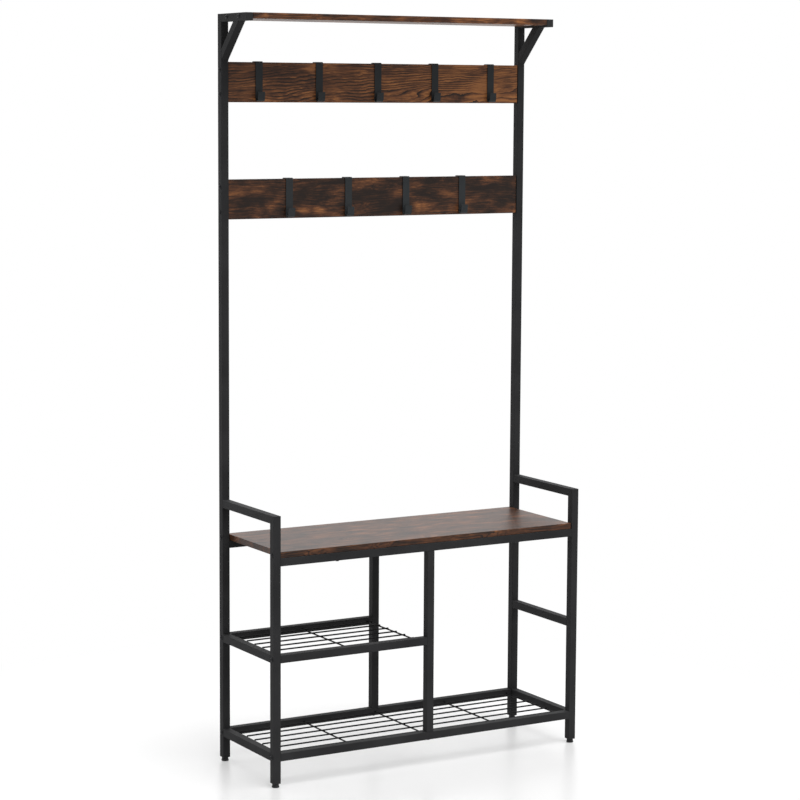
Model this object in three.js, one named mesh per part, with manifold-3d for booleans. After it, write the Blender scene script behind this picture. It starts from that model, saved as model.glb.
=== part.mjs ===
// Hall tree: a square-tube steel stand with a seat board, two wire shoe shelves,
// two hook boards with nine slide-on hooks, a top shelf board and four levelling feet.
// Millimetres, +Z up, origin on the floor under the middle, front towards -Y, width along X.
import * as THREE from 'three';
import { mergeVertices } from 'three/addons/utils/BufferGeometryUtils.js';
import Module from 'manifold-3d';

const wasm = await Module();
wasm.setup();

// ---------- driving dimensions ----------
// whole stand
const overallWidth = 900;
const overallDepth = 300;
const overallHeight = 1900;

// steel tube
const tubeSize = 20;
const tubeWall = 1.2;
const tubeCorner = 1.6;
const weldGap = 0.2;

// heights of the frame members
const bottomShelfHeight = 66;
const middleShelfHeight = 313;
const seatRailHeight = 555;
const armrestRise = 105;
const postJointHeight = 960;

// boards
const boardThickness = 15;
const boardEndGap = 0.5;
const seatSetback = 2.5;
const topShelfDepth = 155;
const hookBoardHeight = 100;
const upperHookBoardDrop = 118;
const hookBoardSpacing = 292;

// shelf brace, at 45 degrees
const braceDrop = 65.5;

// wire shelves
const wireDiameter = 4;
const wireEdgeGap = 22.5;
const longWireCount = 6;
const crossWireBays = 4;
const endWireInset = 15;
const crossWireDrop = 11;
const weldBite = 0.5;
const wireSides = 8;

// hooks
const hookWidth = 20;
const hookThickness = 2;
const hookClearance = 0.35;
const hookBackLength = 25;
const hookMouth = 10;
const hookLipHeight = 24;
const hookLipFlare = 1.5;
const hookBottomRise = 2.5;
const hookBendRadius = 0.9;
const hooksOnUpperBoard = 5;

// what slips into a tube: the hidden sleeves that join the two halves of each rear post, and plugs
const insertClearance = 0.3;
const insertCorner = 1;
const sleeveLength = 120;
const sleeveWall = 1.5;

// levelling feet and tube plugs
const padDiameter = 19;
const padTopDiameter = 16.5;
const padHeight = 9;
const padChamfer = 1;
const padFloorThickness = 2.7;
const padGap = 0.6;
const plugDepth = 18;
const flangeThickness = 2.2;
const flangeChamfer = 1.2;
const studDiameter = 6;
const studLength = 34;
const collarDiameter = 9;
const collarHeight = 3;
const turningClearance = 0.3;

// end caps of the shelf arms
const capThickness = 2;
const capPlugDepth = 12;

// bolts that hold the seat board down to the seat rails
const seatBoltInset = 163;
const seatBoltDiameter = 6;
const seatBoltHeadDiameter = 10.5;
const seatBoltHeadHeight = 3;
const seatBoltHeadRound = 1.5;
const seatBoltBite = 9;
const seatBoltSocketDiameter = 4;
const seatBoltSocketDepth = 1.8;

// facets of round pieces
const padSides = 24;
const screwSides = 16;
const screwTipChamfer = 1;

// ---------- materials ----------
const finishes = {
  frame: { color: 0x2b2b2c, roughness: 0.55, metalness: 0.1 },
  hook: { color: 0x2c2c2d, roughness: 0.5, metalness: 0.1 },
  wood: { color: 0x4a3324, roughness: 0.5, metalness: 0 },
  plastic: { color: 0x1d1d1e, roughness: 0.6, metalness: 0 },
  zinc: { color: 0xa8abae, roughness: 0.35, metalness: 1 },
};

const hallTree = new THREE.Group();

function addPart(name, geometry, finish, position = [0, 0, 0], rotation = [0, 0, 0]) {
  const mesh = new THREE.Mesh(geometry, new THREE.MeshStandardMaterial(finishes[finish]));
  mesh.name = name;
  mesh.position.set(...position);
  mesh.rotation.set(...rotation);
  hallTree.add(mesh);
}

// ---------- solids ----------
function toSolid(geometry) {
  const bare = geometry.clone();
  bare.deleteAttribute('normal');
  bare.deleteAttribute('uv');
  const merged = mergeVertices(bare, 1e-4);
  return new wasm.Manifold(new wasm.Mesh({
    numProp: 3,
    vertProperties: new Float32Array(merged.attributes.position.array),
    triVerts: new Uint32Array(merged.index.array),
  }));
}

function toGeometry(solid) {
  const mesh = solid.getMesh();
  const geometry = new THREE.BufferGeometry();
  geometry.setAttribute('position', new THREE.BufferAttribute(mesh.vertProperties, 3));
  geometry.setIndex(new THREE.BufferAttribute(mesh.triVerts, 1));
  geometry.computeVertexNormals();
  return geometry;
}

function box(width, depth, height, x = 0, y = 0, z = 0) {
  return new THREE.BoxGeometry(width, depth, height).translate(x, y, z);
}

function uprightCylinder(diameter, bottom, top, x = 0, y = 0) {
  const geometry = new THREE.CylinderGeometry(diameter / 2, diameter / 2, top - bottom, screwSides);
  return geometry.rotateX(Math.PI / 2).translate(x, y, (top + bottom) / 2);
}

function roundedSquare(size, radius, Kind = THREE.Shape) {
  const half = size / 2;
  const inner = half - radius;
  const outline = new Kind();
  outline.moveTo(inner, -half);
  outline.absarc(inner, -inner, radius, -Math.PI / 2, 0);
  outline.absarc(inner, inner, radius, 0, Math.PI / 2);
  outline.absarc(-inner, inner, radius, Math.PI / 2, Math.PI);
  outline.absarc(-inner, -inner, radius, Math.PI, Math.PI * 1.5);
  return outline;
}

// A square bar along +Z from 0 to its length, measured on its centre line. A slope tilts an
// end across the section's own Y: a slope of 1 is a 45 degree mitre.
function squareBar(size, radius, wall, length, startSlope = 0, endSlope = 0) {
  const section = roundedSquare(size, radius);
  if (wall > 0) {
    section.holes.push(roundedSquare(size - 2 * wall, Math.max(radius - wall, 0.3), THREE.Path));
  }
  const options = { depth: length, bevelEnabled: false, curveSegments: 2 };
  const geometry = new THREE.ExtrudeGeometry(section, options);
  const position = geometry.attributes.position;
  for (let i = 0; i < position.count; i += 1) {
    const slope = position.getZ(i) > length / 2 ? endSlope : startSlope;
    position.setZ(i, position.getZ(i) + slope * position.getY(i));
  }
  return geometry;
}

function frameTube(length, startSlope = 0, endSlope = 0) {
  return squareBar(tubeSize, tubeCorner, tubeWall, length, startSlope, endSlope);
}

// ---------- places that many members share ----------
const half = tubeSize / 2;
const innerHalfWidth = overallWidth / 2 - tubeSize;
const sideX = overallWidth / 2 - half;
const frontY = -overallDepth / 2 + half;
const rearY = overallDepth / 2 - half;
const innerHalfDepth = overallDepth / 2 - tubeSize;
const cavity = tubeSize - 2 * tubeWall;
const insertSize = cavity - 2 * insertClearance;
const seatRailTop = seatRailHeight + tubeSize;
const armrestTop = seatRailTop + armrestRise;
const flangeBottom = padHeight + padGap;
const legBottom = flangeBottom + flangeThickness + weldGap;
const hookBoardTops = {
  upper: overallHeight - upperHookBoardDrop,
  lower: overallHeight - upperHookBoardDrop - hookBoardSpacing,
};
const seatBoltX = innerHalfWidth - seatBoltInset;
const sides = { left: -1, right: 1 };
const rows = { front: frontY, rear: rearY };
const alongMinusY = [Math.PI / 2, 0, 0];
const alongPlusX = [0, Math.PI / 2, 0];

// ---------- side frames: posts, legs, armrests and side rails ----------
function addUpright(name, x, y, bottom, top, endSlope = 0) {
  addPart(name, frameTube(top - bottom, 0, endSlope), 'frame', [x, y, bottom]);
}

function addSideRail(name, x, z) {
  const length = 2 * (innerHalfDepth - weldGap);
  addPart(name, frameTube(length), 'frame', [x, innerHalfDepth - weldGap, z + half], alongMinusY);
}

function addSideFrame(side, sign) {
  const x = sign * sideX;
  const lowerPostTop = postJointHeight - weldGap / 2;
  addUpright(`rear_post_lower_${side}`, x, rearY, legBottom, lowerPostTop);
  addUpright(`front_leg_${side}`, x, frontY, legBottom, armrestTop - half - weldGap, -1);
  const armLength = overallDepth - tubeSize - half - 2 * weldGap;
  const armStart = [x, innerHalfDepth - weldGap, armrestTop - half];
  addPart(`armrest_${side}`, frameTube(armLength, 0, 1), 'frame', armStart, alongMinusY);
  addSideRail(`side_rail_middle_${side}`, x, middleShelfHeight);
  addSideRail(`side_rail_bottom_${side}`, x, bottomShelfHeight);
}

// ---------- upper posts with the shelf arms and braces ----------
function addUpperFrame(side, sign) {
  const x = sign * sideX;
  const postBottom = postJointHeight + weldGap / 2;
  const armZ = overallHeight - half;
  addUpright(`rear_post_upper_${side}`, x, rearY, postBottom, armZ - weldGap, 1);

  const armStart = [x, rearY - weldGap, armZ];
  const armLength = topShelfDepth - half - capThickness - 2 * weldGap;
  addPart(`shelf_arm_${side}`, frameTube(armLength, -1, 0), 'frame', armStart, alongMinusY);

  const inset = weldGap * Math.SQRT1_2;
  const braceRise = braceDrop + half * Math.SQRT2;
  const braceStart = [x, innerHalfDepth - inset, overallHeight - tubeSize - inset - braceRise];
  const brace = frameTube(braceRise * Math.SQRT2, 1, -1);
  addPart(`shelf_brace_${side}`, brace, 'frame', braceStart, [Math.PI / 4, 0, 0]);

  const sleeveBottom = postJointHeight - sleeveLength / 2;
  const sleeve = squareBar(insertSize, insertCorner, sleeveWall, sleeveLength);
  addPart(`post_sleeve_${side}`, sleeve, 'zinc', [x, rearY, sleeveBottom]);

  const capY = overallDepth / 2 - topShelfDepth;
  addPart(`arm_end_cap_${side}`, armEndCap(), 'plastic', [x, capY, armZ], [-Math.PI / 2, 0, 0]);
}

// A cover plate with a stem that presses into the tube; it lies on z = 0 and points along +Z.
function armEndCap() {
  const plate = toSolid(squareBar(tubeSize, tubeCorner, 0, capThickness));
  const stem = toSolid(squareBar(insertSize, insertCorner, 0, capThickness + capPlugDepth));
  return toGeometry(plate.add(stem));
}

// ---------- rails between the side frames, and the centre posts ----------
function boltHole(bottom, top, x, y) {
  return uprightCylinder(seatBoltDiameter + 2 * turningClearance, bottom, top, x, y);
}

function addCrossRail(name, xStart, xEnd, y, z, holes = []) {
  const length = xEnd - xStart - 2 * weldGap;
  let geometry = frameTube(length).rotateY(Math.PI / 2).translate(xStart + weldGap, y, z + half);
  if (holes.length > 0) {
    let solid = toSolid(geometry);
    for (const x of holes) {
      solid = solid.subtract(toSolid(boltHole(z - 1, z + tubeSize + 1, x, y)));
    }
    geometry = toGeometry(solid);
  }
  addPart(name, geometry, 'frame');
}

function addRails() {
  const holes = [-seatBoltX, seatBoltX];
  for (const [place, y] of Object.entries(rows)) {
    addCrossRail(`seat_rail_${place}`, -innerHalfWidth, innerHalfWidth, y, seatRailHeight, holes);
    addCrossRail(`middle_rail_${place}`, -innerHalfWidth, -half, y, middleShelfHeight);
    addCrossRail(`bottom_rail_${place}`, -innerHalfWidth, innerHalfWidth, y, bottomShelfHeight);
    const postBottom = bottomShelfHeight + tubeSize + weldGap;
    addUpright(`centre_post_${place}`, 0, y, postBottom, seatRailHeight - weldGap);
  }
}

// ---------- welded wire shelves ----------
// Long wires lie on the cross wires, which run between the front and the rear rail.
function addWireShelf(name, xStart, xEnd, crossPlaces, railTop) {
  const crossZ = railTop - crossWireDrop;
  const longZ = crossZ + wireDiameter - weldBite;
  const longStart = xStart + endWireInset - wireDiameter;
  const longEnd = xEnd - endWireInset + wireDiameter;
  const pitch = (2 * (innerHalfDepth - wireEdgeGap)) / (longWireCount - 1);
  const radius = wireDiameter / 2;
  let solid = null;
  const join = (geometry) => {
    const wire = toSolid(geometry);
    solid = solid === null ? wire : solid.add(wire);
  };
  for (const x of crossPlaces) {
    const length = 2 * (innerHalfDepth - weldGap);
    join(new THREE.CylinderGeometry(radius, radius, length, wireSides).translate(x, 0, crossZ));
  }
  for (let i = 0; i < longWireCount; i += 1) {
    const y = (i - (longWireCount - 1) / 2) * pitch;
    const wire = new THREE.CylinderGeometry(radius, radius, longEnd - longStart, wireSides);
    join(wire.rotateZ(Math.PI / 2).translate((longStart + longEnd) / 2, y, longZ));
  }
  addPart(name, toGeometry(solid), 'frame');
}

function crossWirePlaces(xStart, xEnd, bays) {
  const places = [xStart + endWireInset];
  for (let i = 1; i < bays; i += 1) {
    places.push(xStart + ((xEnd - xStart) * i) / bays);
  }
  places.push(xEnd - endWireInset);
  return places;
}

function addWireShelves() {
  const full = [-innerHalfWidth, innerHalfWidth];
  const left = [-innerHalfWidth, -half];
  const bottomPlaces = crossWirePlaces(...full, crossWireBays);
  const middlePlaces = crossWirePlaces(...left, crossWireBays / 2);
  addWireShelf('wire_shelf_bottom', ...full, bottomPlaces, bottomShelfHeight + tubeSize);
  addWireShelf('wire_shelf_middle', ...left, middlePlaces, middleShelfHeight + tubeSize);
}

// ---------- boards ----------
function addBoards() {
  const boardLength = 2 * (innerHalfWidth - boardEndGap);
  const seatBottom = seatRailTop + weldGap;
  const seatDepth = overallDepth - 2 * seatSetback;
  let seat = toSolid(box(boardLength, seatDepth, boardThickness, 0, 0, seatBottom + boardThickness / 2));
  const drillTop = seatRailTop + seatBoltBite + turningClearance;
  for (const { x, y } of seatBoltPlaces()) {
    seat = seat.subtract(toSolid(boltHole(seatBottom - 1, drillTop, x, y)));
  }
  addPart('seat_board', toGeometry(seat), 'wood');

  const shelfY = overallDepth / 2 - topShelfDepth / 2;
  const shelfZ = overallHeight - boardThickness / 2;
  addPart('top_shelf_board', box(boardLength, topShelfDepth, boardThickness), 'wood', [0, shelfY, shelfZ]);
  for (const [row, top] of Object.entries(hookBoardTops)) {
    const board = box(boardLength, boardThickness, hookBoardHeight);
    addPart(`hook_board_${row}`, board, 'wood', [0, rearY, top - hookBoardHeight / 2]);
  }
}

// ---------- hooks ----------
// The strap's centre line in the board's own frame: x is 0 at the board's front face and grows
// backwards, y is 0 at the board's top edge and grows upwards.
function hookCentreLine() {
  const reach = hookClearance + hookThickness / 2;
  const bend = hookBendRadius + hookThickness / 2;
  const mouthRadius = (hookMouth + hookThickness) / 2;
  const back = boardThickness + reach;
  const bottom = -hookBoardHeight + hookBottomRise + hookThickness / 2;
  const line = new THREE.Path();
  line.moveTo(back, -hookBackLength);
  line.lineTo(back, reach - bend);
  line.absarc(back - bend, reach - bend, bend, 0, Math.PI / 2);
  line.lineTo(-reach + bend, reach);
  line.absarc(-reach + bend, reach - bend, bend, Math.PI / 2, Math.PI);
  line.lineTo(-reach, bottom + mouthRadius);
  line.absarc(-reach - mouthRadius, bottom + mouthRadius, mouthRadius, 0, -Math.PI, true);
  const tip = bottom - hookThickness / 2 + hookLipHeight;
  line.lineTo(-reach - 2 * mouthRadius - hookLipFlare, tip);
  return line.getPoints(4);
}

function hookGeometry() {
  const line = hookCentreLine().filter((p, i, all) => i === 0 || p.distanceTo(all[i - 1]) > 1e-3);
  const offsets = line.map((point, i) => {
    const before = line[Math.max(i - 1, 0)];
    const after = line[Math.min(i + 1, line.length - 1)];
    const along = after.clone().sub(before).normalize();
    return new THREE.Vector2(-along.y, along.x).multiplyScalar(hookThickness / 2);
  });
  const outer = line.map((point, i) => point.clone().add(offsets[i]));
  const inner = line.map((point, i) => point.clone().sub(offsets[i]));
  const profile = new THREE.Shape([...outer, ...inner.reverse()]);
  const geometry = new THREE.ExtrudeGeometry(profile, { depth: hookWidth, bevelEnabled: false });
  const toRow = new THREE.Matrix4().makeBasis(
    new THREE.Vector3(0, 1, 0),
    new THREE.Vector3(0, 0, 1),
    new THREE.Vector3(1, 0, 0),
  );
  return geometry.translate(0, 0, -hookWidth / 2).applyMatrix4(toRow);
}

function addHooks() {
  const pitch = (2 * innerHalfWidth) / hooksOnUpperBoard;
  const counts = { upper: hooksOnUpperBoard, lower: hooksOnUpperBoard - 1 };
  for (const [row, count] of Object.entries(counts)) {
    for (let i = 0; i < count; i += 1) {
      const x = (i - (count - 1) / 2) * pitch;
      const place = [x, rearY - boardThickness / 2, hookBoardTops[row]];
      addPart(`hook_${row}_${i + 1}`, hookGeometry(), 'hook', place);
    }
  }
}

// ---------- levelling feet ----------
// A plug closes each leg's end, a stud screws through it, and a pad turns on the stud's collar.
function plugGeometry() {
  const flange = toSolid(squareBar(tubeSize, tubeCorner, 0, flangeThickness));
  const stemTop = flangeThickness + weldGap + plugDepth;
  const stem = toSolid(squareBar(insertSize, insertCorner, 0, stemTop));
  const bore = toSolid(uprightCylinder(studDiameter + 2 * turningClearance, -1, stemTop + 1));
  const cutter = [];
  for (const turn of [0, 1, 2, 3]) {
    const wedge = box(2 * tubeSize, flangeChamfer * Math.SQRT2, flangeChamfer * Math.SQRT2);
    wedge.rotateX(Math.PI / 4).translate(0, -half, 0).rotateZ((turn * Math.PI) / 2);
    cutter.push(toSolid(wedge));
  }
  const chamfered = cutter.reduce((solid, wedge) => solid.subtract(wedge), flange);
  return toGeometry(chamfered.add(stem).subtract(bore)).translate(0, 0, flangeBottom);
}

function latheAboutZ(points, segments) {
  const profile = points.map(([radius, height]) => new THREE.Vector2(radius, height));
  return new THREE.LatheGeometry(profile, segments).rotateX(Math.PI / 2);
}

function padGeometry() {
  const rim = padDiameter / 2;
  const topRim = padTopDiameter / 2;
  const pocket = collarDiameter / 2 + turningClearance;
  return latheAboutZ([
    [0, 0],
    [rim - padChamfer, 0],
    [rim, padChamfer],
    [topRim, padHeight - padChamfer],
    [topRim - padChamfer, padHeight],
    [pocket, padHeight],
    [pocket, padFloorThickness],
    [0, padFloorThickness],
  ], padSides);
}

function studGeometry() {
  const bottom = padFloorThickness + turningClearance;
  const shaft = studDiameter / 2;
  const collar = collarDiameter / 2;
  return latheAboutZ([
    [0, bottom],
    [collar, bottom],
    [collar, bottom + collarHeight],
    [shaft, bottom + collarHeight],
    [shaft, bottom + studLength - screwTipChamfer],
    [shaft - screwTipChamfer, bottom + studLength],
    [0, bottom + studLength],
  ], screwSides);
}

function addFeet() {
  for (const [side, sign] of Object.entries(sides)) {
    for (const [place, y] of Object.entries(rows)) {
      const foot = [sign * sideX, y, 0];
      addPart(`foot_plug_${place}_${side}`, plugGeometry(), 'plastic', foot);
      addPart(`foot_stud_${place}_${side}`, studGeometry(), 'zinc', foot);
      addPart(`foot_pad_${place}_${side}`, padGeometry(), 'plastic', foot);
    }
  }
}

// ---------- seat bolts ----------
function seatBoltPlaces() {
  const places = [];
  for (const [side, sign] of Object.entries(sides)) {
    for (const [place, y] of Object.entries(rows)) {
      places.push({ name: `seat_bolt_${place}_${side}`, x: sign * seatBoltX, y });
    }
  }
  return places;
}

function addSeatBolts() {
  const headTop = seatRailHeight - weldGap;
  const headBottom = headTop - seatBoltHeadHeight;
  const socket = seatBoltSocketDiameter / 2;
  const head = seatBoltHeadDiameter / 2;
  const shank = seatBoltDiameter / 2;
  const tip = seatRailTop + seatBoltBite;
  for (const { name, x, y } of seatBoltPlaces()) {
    const bolt = latheAboutZ([
      [0, headBottom + seatBoltSocketDepth],
      [socket, headBottom + seatBoltSocketDepth],
      [socket, headBottom],
      [head - seatBoltHeadRound, headBottom],
      [head, headBottom + seatBoltHeadRound],
      [head, headTop],
      [shank, headTop],
      [shank, tip - screwTipChamfer],
      [shank - screwTipChamfer, tip],
      [0, tip],
    ], screwSides);
    addPart(name, bolt, 'frame', [x, y, 0]);
  }
}

for (const [side, sign] of Object.entries(sides)) {
  addSideFrame(side, sign);
  addUpperFrame(side, sign);
}
addRails();
addWireShelves();
addBoards();
addHooks();
addFeet();
addSeatBolts();

export default hallTree;
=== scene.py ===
"""Hall tree with hooks: a black tube stand with a seat, wire shoe shelves and two hook boards.

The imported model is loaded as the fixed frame, and each operator makes one group of pieces round it.
Lengths are in metres. X runs along the width, the front faces -Y, and Z is up from the floor.
"""

import math
import random

import bmesh
import bpy
from bpy.props import FloatProperty, FloatVectorProperty, IntProperty, PointerProperty
from mathutils import Matrix, Vector


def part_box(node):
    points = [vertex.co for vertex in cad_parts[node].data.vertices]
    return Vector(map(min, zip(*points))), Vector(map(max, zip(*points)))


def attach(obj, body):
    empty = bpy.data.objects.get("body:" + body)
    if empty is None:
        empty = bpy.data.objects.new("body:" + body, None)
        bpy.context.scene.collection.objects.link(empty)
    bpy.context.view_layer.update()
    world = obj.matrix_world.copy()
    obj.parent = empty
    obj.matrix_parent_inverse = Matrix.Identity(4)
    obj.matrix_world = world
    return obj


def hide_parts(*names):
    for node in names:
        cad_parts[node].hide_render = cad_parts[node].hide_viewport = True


bl_info = {
    "name": "Hall tree with hooks",
    "version": (1, 0, 0),
    "blender": (4, 5, 0),
    "location": "View3D > Sidebar > Hall Tree",
    "description": "Builds the pieces, finishes and stage of a steel and board hall tree",
    "category": "Object",
}

MM = 0.001
STAND = "stand"
SIDES = {"left": -1, "right": 1}
ROWS = ("front", "rear")

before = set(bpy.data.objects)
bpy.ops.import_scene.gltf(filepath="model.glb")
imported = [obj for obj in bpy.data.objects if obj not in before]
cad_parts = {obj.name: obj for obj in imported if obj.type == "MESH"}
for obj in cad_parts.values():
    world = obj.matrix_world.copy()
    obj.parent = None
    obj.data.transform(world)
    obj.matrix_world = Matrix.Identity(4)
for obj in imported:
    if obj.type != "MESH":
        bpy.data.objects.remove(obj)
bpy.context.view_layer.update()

X = Vector((1, 0, 0))
Y = Vector((0, 1, 0))
Z = Vector((0, 0, 1))


# ---------- colours ----------
def linear(hex_colour):
    """Turns an sRGB hex colour such as "4a3324" into linear RGB."""
    channels = [int(hex_colour[i : i + 2], 16) / 255 for i in (0, 2, 4)]
    return [c / 12.92 if c <= 0.04045 else ((c + 0.055) / 1.055) ** 2.4 for c in channels]


def colour_property(name, description, hex_colour):
    return FloatVectorProperty(
        name=name, description=description, default=linear(hex_colour), subtype="COLOR", min=0, max=1
    )


def length_property(name, description, millimetres):
    return FloatProperty(
        name=name, description=description, default=millimetres * MM, unit="LENGTH", min=0, precision=5
    )


class HallTreeSizes(bpy.types.PropertyGroup):
    """Sizes of the details that the frame doesn't carry."""

    tube_wall: length_property("Tube wall", "Wall of the square steel tube", 1.2)
    tube_corner: length_property("Tube corner", "Outside corner radius of the square tube", 1.0)
    bead_radius: length_property("Weld bead", "Radius of the weld beads between tubes", 1.3)
    seam_radius: length_property("Ground seam", "Radius of the weld seams ground flush at mitres", 0.5)
    wire_diameter: length_property("Wire diameter", "Round wire of the shoe shelves", 4)
    board_edge: length_property("Board edge", "Rounding of the boards' banded edges", 0.9)
    banding: length_property("Edge banding", "Thickness of the band glued round the boards", 1.2)
    strap_thickness: length_property("Hook strap", "Thickness of the hooks' flat steel", 2)
    strap_edge: length_property("Strap edge", "Rounding of the strap's edges", 0.45)
    bolt_head: length_property("Bolt head", "Diameter of the button heads", 10.5)
    bolt_socket: length_property("Bolt socket", "Width across flats of the hex sockets", 4)
    thread_pitch: length_property("Thread pitch", "Pitch of the levelling studs' thread", 1)
    pad_top: length_property("Pad top", "Diameter of the foot pads at their top", 16.5)
    long_wires: IntProperty(
        name="Long wires", description="Wires along the width of each shelf", default=6, min=2, max=20
    )


class HallTreeColours(bpy.types.PropertyGroup):
    """Colours of the finishes."""

    powder_coat: colour_property("Powder coat", "Matte black coat on the stand", "303031")
    hook_coat: colour_property("Hook coat", "Satin black coat on the hooks", "2d3032")
    wire_coat: colour_property("Wire coat", "Deep black coat on the wire shelves", "141415")
    plastic: colour_property("Plastic", "Black moulded caps, plugs and pads", "262627")
    zinc: colour_property("Zinc", "Bright zinc on the studs and sleeves", "b9bcbe")
    oxide: colour_property("Black oxide", "Blackened bolts", "343436")
    board_pale: colour_property("Board, pale", "Lightest tan in the board print", "ac7040")
    board_mid: colour_property("Board, middle", "Main reddish brown in the board print", "583622")
    board_dark: colour_property("Board, dark", "Darkest grain lines and charred patches", "20140e")
    floor: colour_property("Floor", "Plain pale floor", "bcbcbc")


# ---------- outlines and lofts ----------
def rounded_rectangle(width, height, radius, steps=5):
    """Points of a rectangle with rounded corners, anticlockwise, about its centre."""
    points = []
    for turn, (sx, sy) in enumerate(((1, -1), (1, 1), (-1, 1), (-1, -1))):
        centre = (sx * (width / 2 - radius), sy * (height / 2 - radius))
        for i in range(steps + 1):
            angle = math.radians(90 * (turn - 1 + i / steps))
            points.append((centre[0] + radius * math.cos(angle), centre[1] + radius * math.sin(angle)))
    return points


def circle(radius, steps):
    angles = [2 * math.pi * i / steps for i in range(steps)]
    return [(radius * math.cos(a), radius * math.sin(a)) for a in angles]


def hexagon(flats, steps):
    """Points of a hexagon at even angles, so that it lofts to a circle of as many steps."""
    points = []
    for i in range(steps):
        angle = 2 * math.pi * i / steps
        radius = flats / 2 / math.cos((angle + math.pi / 6) % (math.pi / 3) - math.pi / 6)
        points.append((radius * math.cos(angle), radius * math.sin(angle)))
    return points


def placed(outline, origin, across, up):
    """A flat outline moved into space, on two directions."""
    return [origin + across * a + up * b for a, b in outline]


def loft(solid, rings, closed=False):
    """Skins a run of rings, each of as many points. An open run is capped at both ends."""
    rows = [[solid.verts.new(point) for point in ring] for ring in rings]
    count = len(rows[0])
    pairs = list(zip(rows, rows[1:]))
    if closed:
        pairs.append((rows[-1], rows[0]))
    for low, high in pairs:
        for i in range(count):
            j = (i + 1) % count
            solid.faces.new((low[i], low[j], high[j], high[i]))
    if not closed:
        solid.faces.new(rows[0][::-1])
        solid.faces.new(rows[-1])


def turned(solid, profile, origin, axis, steps):
    """Turns a profile of (outline or radius, height) about an axis."""
    side = axis.orthogonal().normalized()
    other = axis.cross(side)
    rings = []
    for shape, height in profile:
        outline = circle(shape, steps) if isinstance(shape, float) else shape
        rings.append(placed(outline, origin + axis * height, side, other))
    loft(solid, rings)


def finished_piece(name, solid, finish, body, nodes=(), crease=35):
    """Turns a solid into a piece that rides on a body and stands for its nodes."""
    bmesh.ops.recalc_face_normals(solid, faces=solid.faces[:])
    for face in solid.faces:
        face.smooth = True
    for edge in solid.edges:
        edge.smooth = edge.calc_face_angle(0) < math.radians(crease)
    mesh = bpy.data.meshes.new(name)
    solid.to_mesh(mesh)
    solid.free()
    mesh.materials.append(finish)
    piece = bpy.data.objects.new(name, mesh)
    bpy.context.scene.collection.objects.link(piece)
    shading = piece.modifiers.new("Flat faces stay flat", "WEIGHTED_NORMAL")
    shading.keep_sharp = True
    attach(piece, body)
    if nodes:
        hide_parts(*nodes)
    return piece


# ---------- finishes ----------
def add_node(tree, kind, inputs=None, stops=None, **settings):
    """Adds a shader node, with its settings, its colour stops, and a value or link on each input."""
    node = tree.nodes.new("ShaderNode" + kind)
    for key, value in settings.items():
        setattr(node, key, value)
    for socket, value in (inputs or {}).items():
        if isinstance(value, bpy.types.NodeSocket):
            tree.links.new(value, node.inputs[socket])
        else:
            node.inputs[socket].default_value = value
    for i, (position, colour) in enumerate(stops or ()):
        element = node.color_ramp.elements[i] if i < 2 else node.color_ramp.elements.new(position)
        element.position = position
        element.color = (*colour, 1)
    return node


def new_finish(name):
    """A material with its node tree cleared to the output, and its object coordinates."""
    finish = bpy.data.materials.new(name)
    finish.use_nodes = True
    tree = finish.node_tree
    tree.nodes.clear()
    place = add_node(tree, "TexCoord").outputs["Object"]
    return finish, tree, place


def close_finish(tree, inputs):
    shader = add_node(tree, "BsdfPrincipled", inputs)
    add_node(tree, "OutputMaterial", {"Surface": shader.outputs["BSDF"]})


def coat_finish(name, colour, roughness, grain, relief, specular=0.5, metallic=0.0):
    """A coat or moulded skin: a grain of that size in metres lifts, mottles and dulls the surface."""
    finish, tree, place = new_finish(name)
    grit = add_node(tree, "TexNoise", {"Vector": place, "Scale": 1 / grain, "Detail": 3.0})
    cloud = add_node(tree, "TexNoise", {"Vector": place, "Scale": 1 / 0.09, "Detail": 2.0})
    dark, light = [[min(1, c * k) for c in colour] for k in (0.86, 1.14)]
    tone = add_node(tree, "ValToRGB", {"Fac": cloud.outputs["Fac"]}, [(0.35, dark), (0.65, light)])
    dull = add_node(
        tree,
        "MapRange",
        {"Value": grit.outputs["Fac"], "To Min": roughness - 0.05, "To Max": roughness + 0.05},
    )
    bump = add_node(tree, "Bump", {"Height": grit.outputs["Fac"], "Strength": 0.5, "Distance": relief})
    inputs = {
        "Base Color": tone.outputs["Color"],
        "Roughness": dull.outputs["Result"],
        "Metallic": metallic,
        "Normal": bump.outputs["Normal"],
    }
    if metallic == 0:
        inputs["Specular IOR Level"] = specular
    close_finish(tree, inputs)
    return finish


def powder_coat():
    # Polyester powder coat baked on steel tube: an even, matte black with a very fine orange peel
    # that breaks up reflections. The real peel is about 0.3 mm and is drawn at 1.2 mm to show.
    colour = bpy.context.scene.hall_tree_colours.powder_coat
    return coat_finish("powder_coated_steel_matte_black", colour, 0.66, 1.2 * MM, 0.03 * MM, 0.1)


def hook_coat():
    # The same kind of coat on bent flat steel, a little smoother, so that bends catch the light.
    colour = bpy.context.scene.hall_tree_colours.hook_coat
    return coat_finish("powder_coated_steel_satin_black", colour, 0.5, 1.5 * MM, 0.02 * MM, 0.2)


def wire_coat():
    # The same kind of coat on thin round wire, set darker, because wire seen against a bright
    # floor has to read as black lines.
    colour = bpy.context.scene.hall_tree_colours.wire_coat
    return coat_finish("powder_coated_steel_wire_deep_black", colour, 0.5, 1.2 * MM, 0.01 * MM, 0.1)


def moulded_plastic():
    # Injection-moulded polypropylene with a fine spark-eroded grain of about 0.4 mm, drawn at 0.8 mm.
    # It gives a soft, slightly waxy black.
    colour = bpy.context.scene.hall_tree_colours.plastic
    return coat_finish("moulded_polypropylene_black", colour, 0.5, 0.8 * MM, 0.03 * MM, 0.3)


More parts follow.
